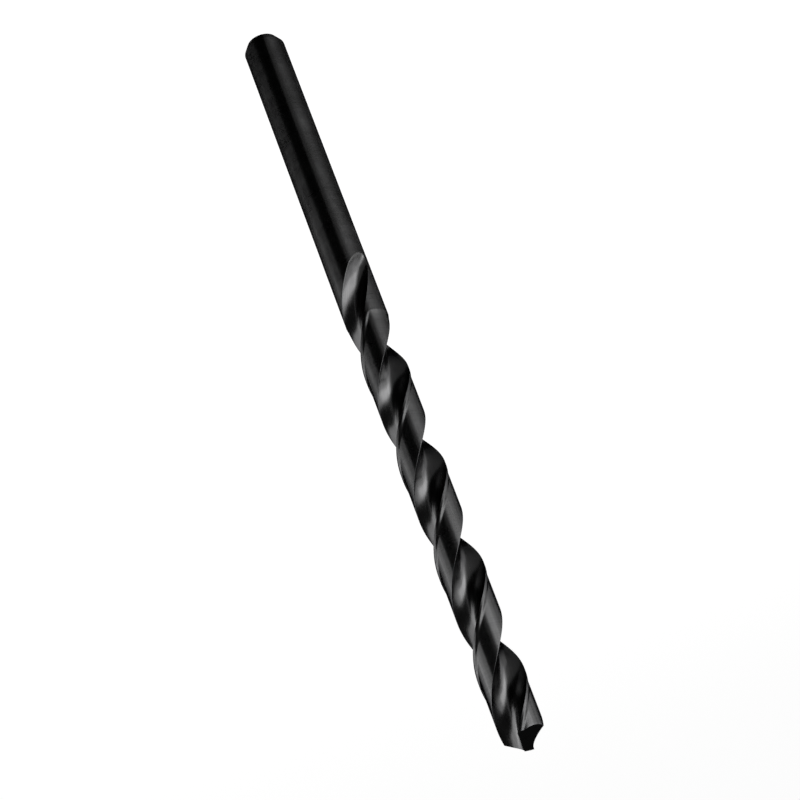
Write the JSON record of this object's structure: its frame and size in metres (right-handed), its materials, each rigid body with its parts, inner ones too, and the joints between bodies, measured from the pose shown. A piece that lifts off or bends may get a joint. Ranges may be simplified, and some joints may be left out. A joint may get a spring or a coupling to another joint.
{
  "type": "twist drill bit",
  "caption": "Straight-shank twist drill bit of blackened high-speed steel: helical flutes run out into a plain round shank, with a ground conical point and chisel edge for drilling holes.",
  "frame": {"origin": "centre of the shank's flat end face, on the drill's axis", "axes": "+Z along the drill's axis from the shank end to the point; the lips run along X, and the lip whose outer corner is at +X faces +Y"},
  "size_m": [0.0048, 0.0048, 0.0889],
  "materials": {
    "black_oxide_steel": "ground high-speed steel with a satin black oxide, worn a little lighter on the edges"
  },
  "bodies": {
    "root": {"twist_drill": "black_oxide_steel"}
  },
  "joints": []
}
